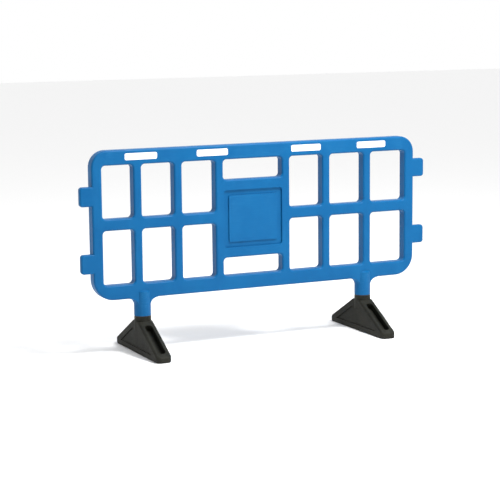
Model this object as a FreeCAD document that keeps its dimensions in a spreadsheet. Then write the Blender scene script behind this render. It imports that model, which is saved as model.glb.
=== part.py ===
import FreeCAD, Part
import os
import Sketcher
from FreeCAD import Placement, Rotation, Vector

# Blow-moulded pedestrian barrier on two swivelling moulded feet.  Millimetres, +Z up.
# X runs along the panel, the front face looks along -Y, and the origin is on the
# ground below the middle of the barrier.

SIZES = [
    ("window_first", 170, "width of the window column at the left end"),
    ("window_step", 9, "each window column is wider than the one before by this"),
    ("bar_width", 44, "upright bar between two openings"),
    ("centre_width", 342, "width of the two centre slots"),
    ("end_margin", 54.5, "upright at each end of the panel"),
    ("bottom_rail", 76, "rail below the lower windows"),
    ("lower_window", 282, "height of the lower windows"),
    ("middle_rail", 59, "rail between the two rows"),
    ("upper_window", 273, "height of the upper windows"),
    ("top_rail", 76, "rail above the upper windows"),
    ("upper_slot", 107, "height of the slot above the centre frame"),
    ("lower_slot", 96, "height of the slot below the centre frame"),
    ("panel_depth", 64, "front to back of the panel"),
    ("wall", 4, "wall of the hollow moulding"),
    ("edge_round", 10, "rounding of the long edges"),
    ("window_corner", 20, "corner radius of the openings"),
    ("top_corner", 85, "outer corner radius at the top"),
    ("bottom_corner", 110, "outer corner radius at the bottom"),
    ("frame_gap", 54, "rail between a centre slot and the centre frame"),
    ("frame_width", 336, "width of the sunk centre frame"),
    ("frame_sink", 9, "depth of the sunk centre frame"),
    ("frame_corner", 14, "corner radius of the sunk centre frame"),
    ("plate_border", 29, "sunk border round the raised centre plate"),
    ("plate_rise", 6, "height of the raised plate above the sunk frame"),
    ("plate_corner", 8, "corner radius of the raised plate"),
    ("reflector_length", 176, "length of a reflector"),
    ("reflector_height", 35, "height of a reflector"),
    ("reflector_corner", 9, "corner radius of a reflector"),
    ("reflector_drop", 35, "reflector centre line below the top of the panel"),
    ("reflector_inner", 272, "inner reflectors from the middle of the panel"),
    ("reflector_outer", 668, "outer reflectors from the middle of the panel"),
    ("reflector_thick", 1.2, "thickness of a reflector"),
    ("reflector_seat", 2.0, "depth of the seat that holds a reflector"),
    ("reflector_gap", 0.5, "gap round a reflector in its seat"),
    ("tab_reach", 65, "coupling tab beyond the end of the panel"),
    ("tab_height", 100, "height of a coupling tab"),
    ("tab_depth", 31, "front to back of a coupling tab"),
    ("tab_round", 16, "rounding of a coupling tab"),
    ("tab_root", 30, "tab reaches this far into the end of the panel"),
    ("left_tab_low", 194, "centre of the lower left tab above the panel's lower edge"),
    ("left_tab_high", 537, "centre of the upper left tab above the panel's lower edge"),
    ("right_tab_low", 221, "centre of the lower right tab above the panel's lower edge"),
    ("right_tab_high", 591, "centre of the upper right tab above the panel's lower edge"),
    ("leg_left", 664, "left leg axis from the middle of the panel"),
    ("leg_right", 632, "right leg axis from the middle of the panel"),
    ("leg_radius", 44, "radius of a leg"),
    ("leg_drop", 94, "leg below the panel's lower edge"),
    ("leg_rise", 32, "straight boss of the leg above the panel's lower edge"),
    ("cap_height", 9, "sloped cap on top of the boss"),
    ("leg_flare", 40, "radius of the flare between leg and panel"),
    ("spigot_radius", 30, "radius of the spigot that enters the foot"),
    ("spigot_length", 123, "spigot below the leg"),
    ("spigot_wall", 5, "wall of the spigot"),
    ("spigot_floor", 30, "solid end of the spigot, which holds the insert"),
    ("swivel_gap", 0.35, "radial gap between spigot and foot"),
    ("ring_thick", 5, "thickness of the thrust ring"),
    ("ring_inset", 3, "thrust ring radius less than the leg radius"),
    ("foot_length", 600, "front to back of a foot"),
    ("foot_width", 84, "width of a foot"),
    ("foot_height", 193, "ground to the top of the foot's collar"),
    ("collar_height", 24, "straight collar at the top of the foot"),
    ("collar_run", 72, "collar runs down the foot's sides this far"),
    ("nose_height", 28, "upright nose at each end of a foot"),
    ("foot_round", 11, "rounding of the long edges of a foot"),
    ("toe_round", 28, "rounding of the toes of a foot, seen from above"),
    ("sole_round", 7, "rounding of the edge of a foot's sole"),
    ("socket_depth", 124, "depth of the socket in the foot"),
    ("hollow_border", 30, "border below the sunk side of a foot"),
    ("hollow_toe", 78, "sunk side of a foot from the toe"),
    ("hollow_depth", 5, "depth of the sunk side of a foot"),
    ("groove_width", 40, "width of the groove in a foot's slope"),
    ("groove_depth", 34, "depth of the groove in a foot's slope"),
    ("groove_corner", 17, "corner radius of the groove in a foot's slope"),
    ("groove_start", 30, "groove from the collar, along the slope"),
    ("groove_end", 34, "groove from the toe, along the slope"),
    ("bolt_radius", 6, "radius of the retaining bolt"),
    ("bolt_clearance", 0.8, "gap round the bolt in the foot"),
    ("bolt_length", 60, "bolt under its head"),
    ("head_flats", 18, "bolt head across its flats"),
    ("head_height", 7.5, "height of the bolt head"),
    ("washer_radius", 18, "radius of the washer"),
    ("washer_thick", 3, "thickness of the washer"),
    ("pocket_radius", 21, "radius of the bolt pocket under the foot"),
    ("pocket_depth", 38, "depth of the bolt pocket under the foot"),
    ("insert_radius", 9, "radius of the threaded insert"),
    ("insert_length", 24, "length of the threaded insert"),
    ("vent_radius", 3, "radius of the moulding vent under the panel"),
]

doc = FreeCAD.newDocument("pedestrian_barrier")
sheet = doc.addObject("Spreadsheet::Sheet", "Sizes")
for row, (alias, number, meaning) in enumerate(SIZES, start=1):
    sheet.set("A%d" % row, meaning)
    sheet.set("B%d" % row, str(number))
    sheet.setAlias("B%d" % row, alias)
doc.recompute()

# The sizes that follow from the ones in the sheet, as expressions.
WINDOWS_WIDE = "(6 * Sizes.window_first + 15 * Sizes.window_step)"
PANEL_LENGTH = ("(2 * Sizes.end_margin + %s + 6 * Sizes.bar_width + Sizes.centre_width)"
                % WINDOWS_WIDE)
PANEL_HEIGHT = ("(Sizes.bottom_rail + Sizes.lower_window + Sizes.middle_rail"
                " + Sizes.upper_window + Sizes.top_rail)")
LEG_END = "(Sizes.foot_height + Sizes.ring_thick)"
PANEL_BASE = "(%s + Sizes.leg_drop)" % LEG_END
PANEL_TOP = "(%s + %s)" % (PANEL_BASE, PANEL_HEIGHT)
UPPER_SILL = "(%s - Sizes.top_rail - Sizes.upper_window)" % PANEL_TOP
LOWER_SILL = "(%s + Sizes.bottom_rail)" % PANEL_BASE
FRONT = "Sizes.panel_depth / 2"


def value(expression):
    """The number that an expression has now."""
    result = sheet.evalExpression(expression)
    return float(getattr(result, "Value", result))


def bind(thing, **expressions):
    """Bind properties to expressions; a double underscore stands for a dot."""
    for name, expression in expressions.items():
        thing.setExpression(name.replace("__", "."), expression)


def add(kind, name, **expressions):
    """A document object with bound sizes."""
    thing = doc.addObject(kind, name)
    bind(thing, **expressions)
    return thing


def move(thing, x="0", y="0", z="0"):
    """Bind the place of an object."""
    bind(thing, Placement__Base__x=x, Placement__Base__y=y, Placement__Base__z=z)
    return thing


def fuse(name, shapes):
    joined = doc.addObject("Part::MultiFuse", name)
    joined.Shapes = shapes
    return joined


def cut(name, base, tool):
    result = doc.addObject("Part::Cut", name)
    result.Base = base
    result.Tool = tool
    return result


def plane(body, role):
    """One of the origin planes of a body."""
    return [face for face in body.Origin.OriginFeatures if face.Role == role][0]


def sketch_on(body, name, role, offset="0"):
    """A sketch on an origin plane, moved along the plane's normal."""
    sketch = body.newObject("Sketcher::SketchObject", name)
    sketch.AttachmentSupport = [(plane(body, role), "")]
    sketch.MapMode = "FlatFace"
    sketch.setExpression("AttachmentOffset.Base.z", offset)
    doc.recompute()
    return sketch


def dimension(sketch, kind, parts, expression):
    """A driving dimension bound to an expression."""
    index = sketch.addConstraint(Sketcher.Constraint(kind, *parts, value(expression)))
    sketch.setExpression("Constraints[%d]" % index, expression)


def rounded_rectangle(sketch, left, right, low, high, low_corner, high_corner):
    """A rectangle with round corners, its sides and radii bound to expressions."""
    x0, x1, y0, y1 = value(left), value(right), value(low), value(high)
    r0, r1 = value(low_corner), value(high_corner)
    first = sketch.GeometryCount
    corners = [(x1 - r0, y0 + r0, r0, -90), (x1 - r1, y1 - r1, r1, 0),
               (x0 + r1, y1 - r1, r1, 90), (x0 + r0, y0 + r0, r0, 180)]
    ends = [((x0 + r0, y0), (x1 - r0, y0)), ((x1, y0 + r0), (x1, y1 - r1)),
            ((x1 - r1, y1), (x0 + r1, y1)), ((x0, y1 - r1), (x0, y0 + r0))]
    for start, stop in ends:
        sketch.addGeometry(Part.LineSegment(Vector(*start, 0), Vector(*stop, 0)))
    for x, y, radius, angle in corners:
        circle = Part.Circle(Vector(x, y, 0), Vector(0, 0, 1), radius)
        turn = FreeCAD.Units.Quantity("%g deg" % angle).getValueAs("rad").Value
        quarter = FreeCAD.Units.Quantity("90 deg").getValueAs("rad").Value
        sketch.addGeometry(Part.ArcOfCircle(circle, turn, turn + quarter))
    for side in range(4):
        line, arc, following = first + side, first + 4 + side, first + (side + 1) % 4
        sketch.addConstraint(Sketcher.Constraint("Tangent", line, 2, arc, 1))
        sketch.addConstraint(Sketcher.Constraint("Tangent", arc, 2, following, 1))
        sketch.addConstraint(Sketcher.Constraint(("Horizontal", "Vertical")[side % 2], line))
    sketch.addConstraint(Sketcher.Constraint("Equal", first + 4, first + 7))
    sketch.addConstraint(Sketcher.Constraint("Equal", first + 5, first + 6))
    dimension(sketch, "Radius", (first + 4,), low_corner)
    dimension(sketch, "Radius", (first + 5,), high_corner)
    dimension(sketch, "DistanceX", (-1, 1, first + 3, 1), left)
    dimension(sketch, "DistanceX", (-1, 1, first + 1, 1), right)
    dimension(sketch, "DistanceY", (-1, 1, first, 1), low)
    dimension(sketch, "DistanceY", (-1, 1, first + 2, 1), high)


def polygon(sketch, corners):
    """A closed polygon; each corner is a pair of expressions from the origin."""
    first = sketch.GeometryCount
    count = len(corners)
    points = [Vector(value(across), value(up), 0) for across, up in corners]
    for index, point in enumerate(points):
        sketch.addGeometry(Part.LineSegment(point, points[(index + 1) % count]))
    for index, (across, up) in enumerate(corners):
        line, following = first + index, first + (index + 1) % count
        sketch.addConstraint(Sketcher.Constraint("Coincident", line, 2, following, 1))
        dimension(sketch, "DistanceX", (-1, 1, line, 1), across)
        dimension(sketch, "DistanceY", (-1, 1, line, 1), up)


def grow(body, kind, name, sketch, length, both_ways=False, reverse=False):
    """A pad or pocket of a bound length."""
    feature = body.newObject(kind, name)
    feature.Profile = sketch
    feature.setExpression("Length", length)
    feature.SideType = "Symmetric" if both_ways else "One side"
    feature.Reversed = reverse
    doc.recompute()
    return feature


def round_edges(body, name, base, chosen, radius):
    """Round the edges of a feature that a test picks out."""
    names = ["Edge%d" % number for number, edge in enumerate(base.Shape.Edges, start=1)
             if chosen(edge)]
    fillet = body.newObject("PartDesign::Fillet", name)
    fillet.Base = (base, names)
    fillet.setExpression("Radius", radius)
    doc.recompute()
    return fillet


def flat_at(edge, axis, place):
    """True if the whole edge lies in the plane where that coordinate has that value."""
    box = edge.BoundBox
    low, high = {"x": (box.XMin, box.XMax), "y": (box.YMin, box.YMax),
                 "z": (box.ZMin, box.ZMax)}[axis]
    return abs(low - place) < 1e-4 and abs(high - place) < 1e-4


def window_columns():
    """Left and right side of each window column, as expressions."""
    columns = []
    for number in range(6):
        past_centre = number > 2
        before = "%d * Sizes.window_first + %d * Sizes.window_step" % (
            number, number * (number - 1) // 2)
        left = "(-%s / 2 + Sizes.end_margin + %s + %d * Sizes.bar_width%s)" % (
            PANEL_LENGTH, before, number + past_centre,
            " + Sizes.centre_width" if past_centre else "")
        right = "(%s + Sizes.window_first + %d * Sizes.window_step)" % (left, number)
        columns.append((left, right))
    return columns


COLUMNS = window_columns()
CENTRE_LEFT = "(%s + Sizes.bar_width)" % COLUMNS[2][1]
CENTRE_RIGHT = "(%s + Sizes.centre_width)" % CENTRE_LEFT
CENTRE = "((%s + %s) / 2)" % (CENTRE_LEFT, CENTRE_RIGHT)


def openings():
    """Left, right, bottom and top of every opening through the panel."""
    upper_head = "(%s + Sizes.upper_window)" % UPPER_SILL
    lower_head = "(%s + Sizes.lower_window)" % LOWER_SILL
    boxes = []
    for left, right in COLUMNS:
        boxes.append((left, right, UPPER_SILL, upper_head))
        boxes.append((left, right, LOWER_SILL, lower_head))
    slot_foot = "(%s - Sizes.upper_slot)" % upper_head
    slot_head = "(%s + Sizes.lower_slot)" % LOWER_SILL
    boxes.append((CENTRE_LEFT, CENTRE_RIGHT, slot_foot, upper_head))
    boxes.append((CENTRE_LEFT, CENTRE_RIGHT, LOWER_SILL, slot_head))
    return boxes


def framed_slab(name, inset):
    """The panel without legs and tabs, all its faces moved inwards by inset."""
    body = doc.addObject("PartDesign::Body", name)
    outline = sketch_on(body, name + "_outline", "XZ_Plane")
    rounded_rectangle(
        outline, "-%s / 2 + %s" % (PANEL_LENGTH, inset), "%s / 2 - %s" % (PANEL_LENGTH, inset),
        "%s + %s" % (PANEL_BASE, inset), "%s - %s" % (PANEL_TOP, inset),
        "Sizes.bottom_corner - %s" % inset, "Sizes.top_corner - %s" % inset)
    depth = "Sizes.panel_depth - 2 * %s" % inset
    slab = grow(body, "PartDesign::Pad", name + "_slab", outline, depth, both_ways=True)
    holes = sketch_on(body, name + "_openings", "XZ_Plane")
    corner = "Sizes.window_corner + %s" % inset
    for left, right, low, high in openings():
        rounded_rectangle(holes, "%s - %s" % (left, inset), "%s + %s" % (right, inset),
                          "%s - %s" % (low, inset), "%s + %s" % (high, inset), corner, corner)
    pierced = grow(body, "PartDesign::Pocket", name + "_pierced", holes, depth, both_ways=True)
    face = value("%s - %s" % (FRONT, inset))
    rounded = round_edges(
        body, name + "_rounded", pierced,
        lambda edge: flat_at(edge, "y", -face) or flat_at(edge, "y", face),
        "Sizes.edge_round - %s" % inset)
    for side, reverse in (("front", False), ("back", True)):
        rounded = centre_frame(body, "%s_%s" % (name, side), inset, reverse)
    body.Tip = rounded
    return body


def centre_frame(body, name, inset, reverse):
    """The sunk frame with its raised plate, on the front or on the back."""
    sign = "-" if reverse else ""
    level = "%s(%s - %s)" % (sign, FRONT, inset)
    low = "(%s + Sizes.lower_slot + Sizes.frame_gap)" % LOWER_SILL
    high = "(%s + Sizes.upper_window - Sizes.upper_slot - Sizes.frame_gap)" % UPPER_SILL
    half = "Sizes.frame_width / 2"
    outer = sketch_on(body, name + "_frame", "XZ_Plane", level)
    corner = "Sizes.frame_corner + %s" % inset
    rounded_rectangle(outer, "%s - %s - %s" % (CENTRE, half, inset),
                      "%s + %s + %s" % (CENTRE, half, inset),
                      "%s - %s" % (low, inset), "%s + %s" % (high, inset), corner, corner)
    grow(body, "PartDesign::Pocket", name + "_sink", outer, "Sizes.frame_sink", reverse=reverse)
    floor = "%s(%s - %s - Sizes.frame_sink)" % (sign, FRONT, inset)
    inner = sketch_on(body, name + "_plate", "XZ_Plane", floor)
    border = "Sizes.plate_border"
    corner = "Sizes.plate_corner"
    rounded_rectangle(inner, "%s - %s + %s + %s" % (CENTRE, half, border, inset),
                      "%s + %s - %s - %s" % (CENTRE, half, border, inset),
                      "%s + %s + %s" % (low, border, inset),
                      "%s - %s - %s" % (high, border, inset), corner, corner)
    return grow(body, "PartDesign::Pad", name + "_rise", inner, "Sizes.plate_rise", reverse=reverse)


def leg_mass(name, leg_x, inset):
    """A leg with its sloped cap and its flare into the panel, moved inwards by inset."""
    radius = "Sizes.leg_radius - %s" % inset
    boss_top = "%s + Sizes.leg_rise - %s / 2" % (PANEL_BASE, inset)
    post = add("Part::Cylinder", name + "_post", Radius=radius,
               Height="%s - (%s + %s)" % (boss_top, LEG_END, inset))
    move(post, leg_x, "0", "%s + %s" % (LEG_END, inset))
    slope = "Sizes.leg_radius - %s + 1" % FRONT
    cap = add("Part::Cone", name + "_cap", Radius1=radius,
              Radius2="%s - (%s)" % (radius, slope), Height="Sizes.cap_height")
    move(cap, leg_x, "0", boss_top)
    reach = "Sizes.leg_radius + Sizes.leg_flare"
    bell = add("Part::Cylinder", name + "_bell", Radius=reach,
               Height="Sizes.leg_flare + Sizes.edge_round + %s" % inset)
    move(bell, leg_x, "0", "%s - Sizes.leg_flare" % PANEL_BASE)
    hollow = add("Part::Torus", name + "_curve", Radius1=reach,
                 Radius2="Sizes.leg_flare + %s" % inset)
    move(hollow, leg_x, "0", "%s - Sizes.leg_flare" % PANEL_BASE)
    bell_cut = cut(name + "_flared", bell, hollow)
    slice_box = add("Part::Box", name + "_slice", Length="2 * (%s)" % reach,
                    Width="Sizes.panel_depth - 2 * %s" % inset,
                    Height="Sizes.leg_flare + Sizes.edge_round + %s" % inset)
    move(slice_box, "%s - (%s)" % (leg_x, reach), "-(%s - %s)" % (FRONT, inset),
         "%s - Sizes.leg_flare" % PANEL_BASE)
    flare = doc.addObject("Part::Common", name + "_flare")
    flare.Base = bell_cut
    flare.Tool = slice_box
    return [post, cap, flare]


def spigot(name, leg_x, radius, low, high):
    post = add("Part::Cylinder", name, Radius=radius, Height="%s - (%s)" % (high, low))
    return move(post, leg_x, "0", low)


def tab_mass(name, outwards, level, inset):
    """A coupling tab flush with the front, moved inwards by inset."""
    body = doc.addObject("PartDesign::Body", name)
    face = sketch_on(body, name + "_outline", "XZ_Plane", "%s - %s" % (FRONT, inset))
    tip = "(%s / 2 + Sizes.tab_reach - %s)" % (PANEL_LENGTH, inset)
    root = "(%s / 2 - Sizes.tab_root)" % PANEL_LENGTH
    sides = (root, tip) if outwards > 0 else ("-" + tip, "-" + root)
    corner = "Sizes.tab_round - %s" % inset
    middle = "(%s + Sizes.%s)" % (PANEL_BASE, level)
    rounded_rectangle(face, sides[0], sides[1],
                      "%s - Sizes.tab_height / 2 + %s" % (middle, inset),
                      "%s + Sizes.tab_height / 2 - %s" % (middle, inset), corner, corner)
    block = grow(body, "PartDesign::Pad", name + "_block", face,
                 "Sizes.tab_depth - 2 * %s" % inset, reverse=True)
    end = value("%s - %s" % (FRONT, inset))
    back = value("%s - Sizes.tab_depth + %s" % (FRONT, inset))
    inside = value(root)

    def outer_rim(edge):
        on_face = flat_at(edge, "y", -end) or flat_at(edge, "y", -back)
        return on_face and not flat_at(edge, "x", outwards * inside)

    body.Tip = round_edges(body, name + "_soft", block, outer_rim, "(%s) / 2" % corner)
    return body


LEGS = (("left", "-Sizes.leg_left"), ("right", "Sizes.leg_right"))
TABS = (("tab_left_low", -1, "left_tab_low"), ("tab_left_high", -1, "left_tab_high"),
        ("tab_right_low", 1, "right_tab_low"), ("tab_right_high", 1, "right_tab_high"))


def panel_mass(name, inset):
    """The whole moulding with its faces moved inwards by inset."""
    masses = [framed_slab(name + "_core", inset)]
    for side, leg_x in LEGS:
        masses += leg_mass("%s_leg_%s" % (name, side), leg_x, inset)
    for tab, outwards, level in TABS:
        masses.append(tab_mass("%s_%s" % (name, tab), outwards, level, inset))
    return masses


def reflector_places():
    """Centre of each reflector along the panel, left to right."""
    return ["-Sizes.reflector_outer", "-Sizes.reflector_inner",
            "Sizes.reflector_inner", "Sizes.reflector_outer"]


REFLECTOR_LEVEL = "(%s - Sizes.reflector_drop)" % PANEL_TOP


def reflector_block(name, place, extra, low, thick, reverse):
    """A thin plate with round corners; low is its sketch plane's distance from the middle."""
    body = doc.addObject("PartDesign::Body", name)
    face = sketch_on(body, name + "_outline", "XZ_Plane", low)
    half_length = "(Sizes.reflector_length / 2 + %s)" % extra
    half_height = "(Sizes.reflector_height / 2 + %s)" % extra
    corner = "Sizes.reflector_corner + %s" % extra
    rounded_rectangle(face, "%s - %s" % (place, half_length), "%s + %s" % (place, half_length),
                      "%s - %s" % (REFLECTOR_LEVEL, half_height),
                      "%s + %s" % (REFLECTOR_LEVEL, half_height), corner, corner)
    body.Tip = grow(body, "PartDesign::Pad", name + "_sheet", face, thick, reverse=reverse)
    return body


def barrier_panel():
    """The hollow moulding: outer mass less cavity, seats, insert bores and vent."""
    outer = panel_mass("outer", "0")
    inner = panel_mass("inner", "Sizes.wall")
    spigot_end = "%s - Sizes.spigot_length" % LEG_END
    cuts = []
    for side, leg_x in LEGS:
        outer.append(spigot("spigot_" + side, leg_x, "Sizes.spigot_radius",
                            spigot_end, LEG_END + " + Sizes.wall"))
        inner.append(spigot("spigot_bore_" + side, leg_x,
                            "Sizes.spigot_radius - Sizes.spigot_wall",
                            spigot_end + " + Sizes.spigot_floor",
                            LEG_END + " + 2 * Sizes.wall"))
        cuts.append(spigot("insert_bore_" + side, leg_x, "Sizes.insert_radius",
                           spigot_end, spigot_end + " + Sizes.insert_length"))
    for face, reverse in (("front", True), ("back", False)):
        sign = "-" if face == "back" else ""
        seat = "%s(%s - Sizes.reflector_seat)" % (sign, FRONT)
        for number, place in enumerate(reflector_places(), start=1):
            cuts.append(reflector_block("seat_%s_%d" % (face, number), place,
                                        "Sizes.reflector_gap", seat,
                                        "Sizes.reflector_seat + 1", face == "back"))
    vent = add("Part::Cylinder", "vent", Radius="Sizes.vent_radius", Height="2 * Sizes.wall")
    cuts.append(move(vent, CENTRE, "0", "%s - Sizes.wall / 2" % PANEL_BASE))
    solid = fuse("outer_mass", outer)
    cavity = fuse("cavity", inner)
    shell = cut("moulding", solid, fuse("removed", [cavity] + cuts))
    shell.Refine = True
    return named(shell, "barrier_panel")


def named(thing, label):
    thing.Label = label
    return thing


def reflectors():
    made = []
    for face in ("front", "back"):
        sign = "-" if face == "back" else ""
        level = "%s(%s - Sizes.reflector_seat)" % (sign, FRONT)
        for number, place in enumerate(reflector_places(), start=1):
            name = "reflector_%s_%d" % (face, number)
            made.append(reflector_block(name, place, "0", level,
                                        "Sizes.reflector_thick", face == "back"))
    return made


def foot(side, leg_x):
    """A solid moulded foot: A-shaped, round collar, sunk sides, grooved slopes."""
    body = doc.addObject("PartDesign::Body", "foot_" + side)
    half = "(Sizes.foot_length / 2)"
    shoulder = "(Sizes.foot_height - Sizes.collar_height)"
    profile = sketch_on(body, side + "_foot_profile", "YZ_Plane")
    polygon(profile, [("-" + half, "0"), (half, "0"), (half, "Sizes.nose_height"),
                      ("Sizes.leg_radius", shoulder), ("-Sizes.leg_radius", shoulder),
                      ("-" + half, "Sizes.nose_height")])
    block = grow(body, "PartDesign::Pad", side + "_foot_block", profile,
                 "Sizes.foot_width", both_ways=True)
    reach = value(half)
    wide = value("Sizes.foot_width / 2")
    top = value(shoulder)

    def toe_edge(edge):
        at_end = flat_at(edge, "y", reach) or flat_at(edge, "y", -reach)
        return at_end and (flat_at(edge, "x", wide) or flat_at(edge, "x", -wide))

    def upper_edge(edge):
        upright = flat_at(edge, "x", edge.Vertexes[0].X) and flat_at(edge, "y", edge.Vertexes[0].Y)
        across = flat_at(edge, "y", edge.Vertexes[0].Y) and not flat_at(edge, "y", reach) \
            and not flat_at(edge, "y", -reach)
        return not (flat_at(edge, "z", 0) or flat_at(edge, "z", top) or upright or across)

    def sole_edge(edge):
        return flat_at(edge, "z", 0)

    softened = round_edges(body, side + "_foot_toes", block, toe_edge, "Sizes.toe_round")
    softened = round_edges(body, side + "_foot_soft", softened, upper_edge, "Sizes.foot_round")
    softened = round_edges(body, side + "_foot_sole", softened, sole_edge, "Sizes.sole_round")
    collar_face = sketch_on(body, side + "_collar_face", "XY_Plane", "Sizes.foot_height")
    circle_at_axis(collar_face, "Sizes.leg_radius")
    collar = grow(body, "PartDesign::Pad", side + "_collar", collar_face,
                  "Sizes.collar_run", reverse=True)
    for hand, reverse in (("near", False), ("far", True)):
        collar = side_hollow(body, "%s_%s" % (side, hand), reverse)
    for end, sign in (("front", -1), ("back", 1)):
        collar = slope_groove(body, "%s_%s_groove" % (side, end), sign)
    for name, radius, level, depth in (
            ("socket", "Sizes.spigot_radius + Sizes.swivel_gap", "Sizes.foot_height",
             "Sizes.socket_depth"),
            ("bolt_hole", "Sizes.bolt_radius + Sizes.bolt_clearance", "Sizes.foot_height",
             "Sizes.foot_height - Sizes.pocket_depth / 2"),
            ("bolt_pocket", "Sizes.pocket_radius", "Sizes.pocket_depth", "Sizes.pocket_depth")):
        circle = sketch_on(body, "%s_%s" % (side, name), "XY_Plane", level)
        circle_at_axis(circle, radius)
        collar = grow(body, "PartDesign::Pocket", "%s_%s_cut" % (side, name), circle, depth)
    body.Tip = collar
    return move(body, leg_x)


def circle_at_axis(sketch, radius):
    sketch.addGeometry(Part.Circle(Vector(0, 0, 0), Vector(0, 0, 1), value(radius)))
    sketch.addConstraint(Sketcher.Constraint("Coincident", 0, 3, -1, 1))
    dimension(sketch, "Radius", (0,), radius)


def side_hollow(body, name, reverse):
    """A shallow sunk panel in one side of the foot, below the collar."""
    level = "%sSizes.foot_width / 2" % ("-" if reverse else "")
    half = "(Sizes.foot_length / 2)"
    slope = "((Sizes.foot_height - Sizes.collar_height - Sizes.nose_height)" \
            " / (%s - Sizes.leg_radius))" % half
    low = "Sizes.hollow_border"
    toe = "(%s - Sizes.hollow_toe)" % half
    top = "(%s + %s * (%s - Sizes.leg_radius))" % (low, slope, toe)
    face = sketch_on(body, name + "_hollow_face", "YZ_Plane", level)
    polygon(face, [("-" + toe, low), (toe, low), ("Sizes.leg_radius", top),
                   ("-Sizes.leg_radius", top)])
    return grow(body, "PartDesign::Pocket", name + "_hollow", face,
                "Sizes.hollow_depth", reverse=reverse)


def slope_groove(body, name, sign):
    """A round-ended groove sunk square to the slope at one end of the foot."""
    half = "(Sizes.foot_length / 2)"
    rise = "(Sizes.foot_height - Sizes.collar_height - Sizes.nose_height)"
    run = "(%s - Sizes.leg_radius)" % half
    length = "sqrt(%s ^ 2 + %s ^ 2)" % (rise, run)
    sketch = body.newObject("Sketcher::SketchObject", name + "_face")
    sketch.AttachmentSupport = [(plane(body, "XY_Plane"), "")]
    sketch.MapMode = "FlatFace"
    tilt = value("atan(%s / %s)" % (rise, run))
    sketch.AttachmentOffset = Placement(
        Vector(0, 0, 0), Rotation(Vector(1, 0, 0), -sign * tilt))
    sketch.setExpression("AttachmentOffset.Rotation.Angle", "atan(%s / %s)" % (rise, run))
    sketch.setExpression("AttachmentOffset.Base.y", "%d * Sizes.leg_radius" % sign)
    sketch.setExpression("AttachmentOffset.Base.z", "Sizes.foot_height - Sizes.collar_height")
    doc.recompute()
    near = "%d * Sizes.groove_start" % sign
    far = "%d * (%s - Sizes.groove_end)" % (sign, length)
    low, high = (near, far) if sign > 0 else (far, near)
    corner = "Sizes.groove_corner"
    rounded_rectangle(sketch, "-Sizes.groove_width / 2", "Sizes.groove_width / 2",
                      low, high, corner, corner)
    return grow(body, "PartDesign::Pocket", name, sketch, "Sizes.groove_depth")


def thrust_ring(side, leg_x):
    outside = add("Part::Cylinder", "ring_disc_" + side, Height="Sizes.ring_thick",
                  Radius="Sizes.leg_radius - Sizes.ring_inset")
    inside = add("Part::Cylinder", "ring_hole_" + side, Height="Sizes.ring_thick",
                 Radius="Sizes.spigot_radius + Sizes.swivel_gap")
    for disc in (outside, inside):
        move(disc, leg_x, "0", "Sizes.foot_height")
    return named(cut("ring_" + side, outside, inside), "thrust_ring_" + side)


def retaining_bolt(side, leg_x):
    seat = "(Sizes.pocket_depth - Sizes.washer_thick)"
    head = add("Part::Prism", "bolt_head_" + side, Height="Sizes.head_height",
               Circumradius="Sizes.head_flats / sqrt(3)")
    head.Polygon = 6
    move(head, leg_x, "0", "%s - Sizes.head_height" % seat)
    shank = add("Part::Cylinder", "bolt_shank_" + side, Radius="Sizes.bolt_radius",
                Height="Sizes.bolt_length")
    move(shank, leg_x, "0", seat)
    return named(fuse("bolt_" + side, [head, shank]), "foot_bolt_" + side)


def bolt_washer(side, leg_x):
    disc = add("Part::Cylinder", "washer_disc_" + side, Radius="Sizes.washer_radius",
               Height="Sizes.washer_thick")
    hole = add("Part::Cylinder", "washer_hole_" + side, Height="Sizes.washer_thick",
               Radius="Sizes.bolt_radius + Sizes.bolt_clearance / 2")
    for part in (disc, hole):
        move(part, leg_x, "0", "Sizes.pocket_depth - Sizes.washer_thick")
    return named(cut("washer_" + side, disc, hole), "bolt_washer_" + side)


def threaded_insert(side, leg_x):
    low = "%s - Sizes.spigot_length" % LEG_END
    barrel = spigot("insert_barrel_" + side, leg_x, "Sizes.insert_radius",
                    low, low + " + Sizes.insert_length")
    hole = spigot("insert_hole_" + side, leg_x, "Sizes.bolt_radius",
                  low, low + " + Sizes.insert_length")
    return named(cut("insert_" + side, barrel, hole), "threaded_insert_" + side)


def check_and_write(pieces):
    """Refuse failed or invalid objects, then write one file for each piece."""
    doc.recompute()
    for thing in doc.Objects:
        if "Invalid" in thing.State or "Error" in thing.State:
            raise RuntimeError("%s failed: %s" % (thing.Name, thing.State))
    os.makedirs("parts", exist_ok=True)
    for piece in pieces:
        shape = piece.Shape
        if shape.isNull() or not shape.isValid() or len(shape.Solids) != 1:
            raise RuntimeError("%s is not one good solid" % piece.Label)
        shape.exportStep("parts/%s.step" % piece.Label)
        print(piece.Label, "volume", round(shape.Volume / 1000, 1), "cm3")


pieces = [barrier_panel()] + reflectors()
for side, leg_x in LEGS:
    pieces += [foot(side, leg_x), thrust_ring(side, leg_x), retaining_bolt(side, leg_x),
               bolt_washer(side, leg_x), threaded_insert(side, leg_x)]
check_and_write(pieces)
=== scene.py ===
import math
import bpy
from mathutils import Matrix, Vector


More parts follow.
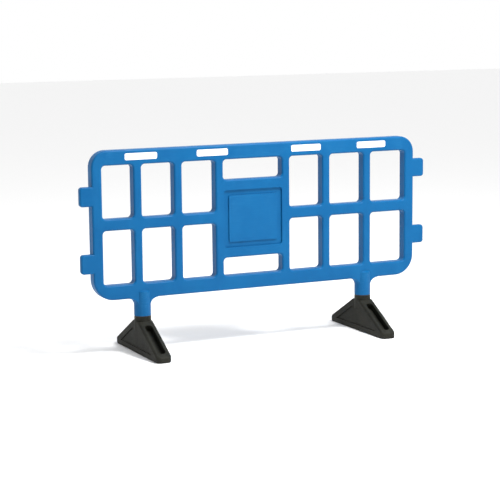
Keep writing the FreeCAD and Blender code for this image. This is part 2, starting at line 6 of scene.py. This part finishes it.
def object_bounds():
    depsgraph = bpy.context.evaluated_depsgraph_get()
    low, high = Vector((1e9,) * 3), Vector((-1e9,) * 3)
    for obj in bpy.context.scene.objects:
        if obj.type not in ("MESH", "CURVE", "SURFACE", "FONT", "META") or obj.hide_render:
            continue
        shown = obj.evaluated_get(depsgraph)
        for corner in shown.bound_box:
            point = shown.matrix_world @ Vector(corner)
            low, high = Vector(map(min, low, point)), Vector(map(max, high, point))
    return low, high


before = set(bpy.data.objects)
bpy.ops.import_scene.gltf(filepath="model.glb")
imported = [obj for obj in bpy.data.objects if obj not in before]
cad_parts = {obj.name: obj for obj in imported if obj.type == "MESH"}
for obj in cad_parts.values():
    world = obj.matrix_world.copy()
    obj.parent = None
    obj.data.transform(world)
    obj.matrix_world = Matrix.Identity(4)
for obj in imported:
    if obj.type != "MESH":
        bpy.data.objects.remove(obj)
cad_box = [list(corner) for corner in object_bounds()]

# Camera: angles in degrees, distances in metres, lens and sensor in millimetres.
CAMERA_AZIMUTH = -25.07
CAMERA_ELEVATION = 8.66
CAMERA_ROLL = -0.54
CAMERA_DISTANCE = 8.467
CAMERA_LENS = 115.0
SENSOR_WIDTH = 36.0
VIEW_END = 100.0
AIM_LEFT_OF_MIDDLE = 0.048
AIM_HEIGHT_SHARE = 0.4645

# Stage, in metres.  Each light is its name, place, size and power in watts.
FLOOR_SIZE = 60.0
FLOOR_PALE = (0.97, 0.97, 0.97, 1.0)
LIGHT_TARGET = (0, 0, 0.6)
LIGHTS = (("overhead", (0.9, -1.9, 4.2), 1.2, 230),
          ("front_fill", (3.4, -4.6, 2.0), 2.0, 20))

# The surround is white, and dims smoothly towards this direction.
DIM_DIRECTION = (-0.72, -0.66, -0.20)
DIM_START, DIM_END = 0.25, 0.95
DIM_STRENGTH = 0.30


# ---------------------------------------------------------------- node helpers

class Shader:
    """A small helper that adds and links the nodes of one material."""

    def __init__(self, name):
        self.material = bpy.data.materials.new(name)
        self.material.use_nodes = True
        self.tree = self.material.node_tree
        self.surface = self.tree.nodes["Principled BSDF"]
        self.place = self.add("ShaderNodeTexCoord").outputs["Object"]

    def add(self, kind, **settings):
        node = self.tree.nodes.new(kind)
        for key, setting in settings.items():
            setattr(node, key, setting)
        return node

    def link(self, output, socket):
        self.tree.links.new(output, socket)

    def noise(self, scale, detail=2.0, roughness=0.5, stretch=(1, 1, 1)):
        spread = self.add("ShaderNodeMapping")
        spread.inputs["Scale"].default_value = stretch
        self.link(self.place, spread.inputs["Vector"])
        node = self.add("ShaderNodeTexNoise")
        node.inputs["Scale"].default_value = scale
        node.inputs["Detail"].default_value = detail
        node.inputs["Roughness"].default_value = roughness
        self.link(spread.outputs["Vector"], node.inputs["Vector"])
        return node.outputs["Fac"]

    def ramp(self, value, low, high, start=0.0, end=1.0):
        """Maps start..end of a value to low..high, smoothly."""
        node = self.add("ShaderNodeMapRange", interpolation_type="SMOOTHSTEP")
        node.inputs["From Min"].default_value = start
        node.inputs["From Max"].default_value = end
        node.inputs["To Min"].default_value = low
        node.inputs["To Max"].default_value = high
        self.link(value, node.inputs["Value"])
        return node.outputs["Result"]

    def maths(self, operation, first, second):
        node = self.add("ShaderNodeMath", operation=operation)
        for socket, operand in zip(node.inputs, (first, second)):
            if isinstance(operand, (int, float)):
                socket.default_value = operand
            else:
                self.link(operand, socket)
        return node.outputs["Value"]

    def mix(self, amount, first, second):
        """Mixes two colours, each a colour or an output, by an amount."""
        node = self.add("ShaderNodeMix", data_type="RGBA")
        self.link(amount, node.inputs[0])
        for socket, colour in ((node.inputs[6], first), (node.inputs[7], second)):
            if isinstance(colour, tuple):
                socket.default_value = (*colour, 1.0)
            else:
                self.link(colour, socket)
        return node.outputs[2]

    def bump(self, layers):
        """Adds bump layers, each (height, strength, distance in metres), in order."""
        normal = None
        for height, strength, distance in layers:
            node = self.add("ShaderNodeBump")
            node.inputs["Strength"].default_value = strength
            node.inputs["Distance"].default_value = distance
            self.link(height, node.inputs["Height"])
            if normal:
                self.link(normal, node.inputs["Normal"])
            normal = node.outputs["Normal"]
        self.link(normal, self.surface.inputs["Normal"])

    def finish(self, colour, roughness):
        self.link(colour, self.surface.inputs["Base Color"])
        self.link(roughness, self.surface.inputs["Roughness"])
        return self.material

    def axis(self, name):
        """One coordinate of the object, in metres."""
        node = self.add("ShaderNodeSeparateXYZ")
        self.link(self.place, node.inputs["Vector"])
        return node.outputs[name]

    def edges(self, start=0.52, end=0.62):
        """High where the surface is a sharp outward edge."""
        shape = self.add("ShaderNodeNewGeometry")
        return self.ramp(shape.outputs["Pointiness"], 0.0, 1.0, start, end)


# ------------------------------------------------------------------- materials

def blue_polyethylene():
    """Satin blow-moulded polyethylene: faint flow mottling, grain, scuffed edges."""
    shader = Shader("blue_polyethylene")
    mottle = shader.noise(5.0, 4.0, 0.6)
    flow = shader.noise(14.0, 3.0, 0.55, (1.0, 1.0, 0.25))
    grain = shader.noise(1400.0, 2.0, 0.6)
    peel = shader.noise(260.0, 2.0, 0.5)
    scratches = shader.noise(160.0, 4.0, 0.75, (0.08, 1.0, 1.6))
    deep, fresh, worn = (0.0006, 0.091, 0.252), (0.0010, 0.102, 0.272), (0.016, 0.155, 0.345)
    colour = shader.mix(shader.ramp(mottle, 0.0, 1.0, 0.35, 0.65), deep, fresh)
    colour = shader.mix(shader.ramp(flow, 0.0, 0.10, 0.45, 0.75), colour, worn)
    scuffed = shader.maths("MULTIPLY", shader.edges(), shader.ramp(scratches, 0.1, 1.0, 0.45, 0.62))
    colour = shader.mix(shader.maths("MULTIPLY", scuffed, 0.55), colour, worn)
    roughness = shader.ramp(flow, 0.36, 0.50, 0.3, 0.7)
    shader.bump([(mottle, 0.12, 0.002), (peel, 0.22, 0.0006), (grain, 0.35, 0.00018)])
    shader.surface.inputs["Specular IOR Level"].default_value = 0.14
    return shader.finish(colour, roughness)


def black_rubber():
    """Moulded recycled rubber: olive black, granular, dusty towards the ground."""
    shader = Shader("black_rubber")
    cloud = shader.noise(16.0, 4.0, 0.6)
    granules = shader.noise(620.0, 3.0, 0.7)
    coarse = shader.noise(190.0, 3.0, 0.6)
    dark, light, dust = (0.009, 0.0092, 0.0062), (0.016, 0.0163, 0.0118), (0.036, 0.034, 0.027)
    colour = shader.mix(shader.ramp(cloud, 0.0, 1.0, 0.35, 0.68), dark, light)
    low = shader.ramp(shader.axis("Z"), 1.0, 0.0, 0.0, 0.055)
    dusty = shader.maths("MULTIPLY", low, shader.ramp(coarse, 0.0, 0.55, 0.42, 0.66))
    colour = shader.mix(dusty, colour, dust)
    rubbed = shader.maths("MULTIPLY", shader.edges(), shader.ramp(cloud, 0.2, 0.6, 0.4, 0.6))
    colour = shader.mix(rubbed, colour, (0.034, 0.035, 0.029))
    roughness = shader.ramp(coarse, 0.52, 0.78, 0.3, 0.7)
    shader.bump([(coarse, 0.30, 0.0012), (granules, 0.45, 0.0005)])
    shader.surface.inputs["Specular IOR Level"].default_value = 0.16
    return shader.finish(colour, roughness)


def white_reflector():
    """White prismatic reflector: fine cells under a clear, glossy face."""
    shader = Shader("white_reflector")
    cells = shader.add("ShaderNodeTexVoronoi", feature="DISTANCE_TO_EDGE")
    cells.inputs["Scale"].default_value = 320.0
    cells.inputs["Randomness"].default_value = 0.15
    shader.link(shader.place, cells.inputs["Vector"])
    seam = shader.ramp(cells.outputs["Distance"], 1.0, 0.0, 0.0, 0.09)
    haze = shader.noise(30.0, 3.0, 0.6)
    colour = shader.mix(seam, (0.93, 0.94, 0.95), (0.80, 0.83, 0.86))
    colour = shader.mix(shader.ramp(haze, 0.0, 0.25, 0.4, 0.75), colour, (0.86, 0.87, 0.86))
    roughness = shader.ramp(haze, 0.16, 0.30, 0.35, 0.7)
    shader.bump([(seam, 0.15, 0.0003)])
    shader.surface.inputs["Coat Weight"].default_value = 0.5
    shader.surface.inputs["Coat Roughness"].default_value = 0.08
    return shader.finish(colour, roughness)


def black_nylon():
    """Turned nylon ring, brown-black, with fine turning marks."""
    shader = Shader("black_nylon")
    marks = shader.noise(900.0, 2.0, 0.5, (0.05, 0.05, 2.0))
    blotch = shader.noise(70.0, 3.0, 0.6)
    colour = shader.mix(blotch, (0.012, 0.007, 0.004), (0.028, 0.018, 0.011))
    shader.bump([(marks, 0.4, 0.0002)])
    return shader.finish(colour, shader.ramp(blotch, 0.38, 0.55))


def zinc_steel():
    """Zinc-plated steel: cloudy passivation and fine tool marks."""
    shader = Shader("zinc_steel")
    shader.surface.inputs["Metallic"].default_value = 1.0
    cloud = shader.noise(120.0, 4.0, 0.65)
    marks = shader.noise(2200.0, 2.0, 0.5, (1.0, 1.0, 0.2))
    colour = shader.mix(cloud, (0.50, 0.50, 0.46), (0.72, 0.72, 0.70))
    shader.bump([(marks, 0.25, 0.0001)])
    return shader.finish(colour, shader.ramp(cloud, 0.26, 0.46))


def turned_brass():
    """Brass insert with a darker, slightly tarnished skin."""
    shader = Shader("turned_brass")
    shader.surface.inputs["Metallic"].default_value = 1.0
    cloud = shader.noise(160.0, 4.0, 0.6)
    colour = shader.mix(cloud, (0.52, 0.36, 0.13), (0.78, 0.60, 0.27))
    shader.bump([(cloud, 0.2, 0.0002)])
    return shader.finish(colour, shader.ramp(cloud, 0.25, 0.45))


def dress(node, material):
    """Gives a CAD node a finished material."""
    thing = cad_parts[node]
    if not thing.material_slots:
        thing.data.materials.append(material)
    for slot in thing.material_slots:
        slot.material = material


# ----------------------------------------------------------------------- stage

def studio():
    """A plain pale floor, a white surround and soft lights."""
    scene = bpy.context.scene
    scene.view_settings.view_transform = "Standard"
    scene.view_settings.look = "None"
    world = bpy.data.worlds.new("studio")
    world.use_nodes = True
    sky = world.node_tree.nodes["Background"]
    sky.inputs["Color"].default_value = (1.0, 1.0, 1.0, 1.0)
    shade_front_left(world.node_tree, sky)
    scene.world = world
    bpy.ops.mesh.primitive_plane_add(size=FLOOR_SIZE, location=(0, 0, 0))
    floor = bpy.context.object
    floor.name = "floor"
    pale = bpy.data.materials.new("pale_floor")
    pale.use_nodes = True
    surface = pale.node_tree.nodes["Principled BSDF"]
    surface.inputs["Base Color"].default_value = FLOOR_PALE
    surface.inputs["Roughness"].default_value = 0.9
    surface.inputs["Specular IOR Level"].default_value = 0.1
    floor.data.materials.append(pale)
    for name, place, size, power in LIGHTS:
        soft_light(name, place, size, power)


def shade_front_left(tree, sky):
    """White all round, dimmer towards the front left, so that rounded edges read."""
    direction = tree.nodes.new("ShaderNodeTexCoord")
    facing = tree.nodes.new("ShaderNodeVectorMath")
    facing.operation = "DOT_PRODUCT"
    facing.inputs[1].default_value = DIM_DIRECTION
    tree.links.new(direction.outputs["Generated"], facing.inputs[0])
    dim = tree.nodes.new("ShaderNodeMapRange")
    dim.interpolation_type = "SMOOTHSTEP"
    dim.inputs["From Min"].default_value = DIM_START
    dim.inputs["From Max"].default_value = DIM_END
    dim.inputs["To Min"].default_value = 1.0
    dim.inputs["To Max"].default_value = DIM_STRENGTH
    tree.links.new(facing.outputs["Value"], dim.inputs["Value"])
    tree.links.new(dim.outputs["Result"], sky.inputs["Strength"])


def soft_light(name, place, size, power):
    """A square area light that points at the barrier."""
    data = bpy.data.lights.new(name, "AREA")
    data.shape = "SQUARE"
    data.size = size
    data.energy = power
    light = bpy.data.objects.new(name, data)
    light.location = place
    aim = Vector(LIGHT_TARGET) - Vector(place)
    light.rotation_euler = aim.to_track_quat("-Z", "Y").to_euler()
    bpy.context.scene.collection.objects.link(light)


def camera():
    """Looks at the barrier from its front left, a little above its top."""
    lowest, highest = (Vector(corner) for corner in cad_box)
    middle = (lowest + highest) / 2
    aim = Vector((middle.x - AIM_LEFT_OF_MIDDLE, middle.y, lowest.z
                  + AIM_HEIGHT_SHARE * (highest.z - lowest.z)))
    turn = math.radians(CAMERA_AZIMUTH)
    rise = math.radians(CAMERA_ELEVATION)
    back = Vector((math.sin(turn) * math.cos(rise), -math.cos(turn) * math.cos(rise),
                   math.sin(rise)))
    right = Vector((math.cos(turn), math.sin(turn), 0.0))
    up = back.cross(right)
    roll = math.radians(CAMERA_ROLL)
    axes = Matrix((right * math.cos(roll) + up * math.sin(roll),
                   up * math.cos(roll) - right * math.sin(roll), back)).transposed()
    data = bpy.data.cameras.new("camera")
    data.lens = CAMERA_LENS
    data.sensor_width = SENSOR_WIDTH
    data.clip_end = VIEW_END
    eye = bpy.data.objects.new("camera", data)
    eye.matrix_world = Matrix.Translation(aim + back * CAMERA_DISTANCE) @ axes.to_4x4()
    bpy.context.scene.collection.objects.link(eye)
    bpy.context.scene.camera = eye


# Longer names stand before the shorter ones that they start with.
FINISHES = {"barrier_panel": blue_polyethylene, "reflector": white_reflector,
            "foot_bolt": zinc_steel, "bolt_washer": zinc_steel, "foot": black_rubber,
            "thrust_ring": black_nylon, "threaded_insert": turned_brass}


def dress_all():
    """Gives every CAD node the finish whose name its own name starts with."""
    made = {}
    for node in sorted(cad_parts):
        match = [start for start in FINISHES if node.startswith(start)][0]
        if match not in made:
            made[match] = FINISHES[match]()
        dress(node, made[match])


camera()
studio()
dress_all()
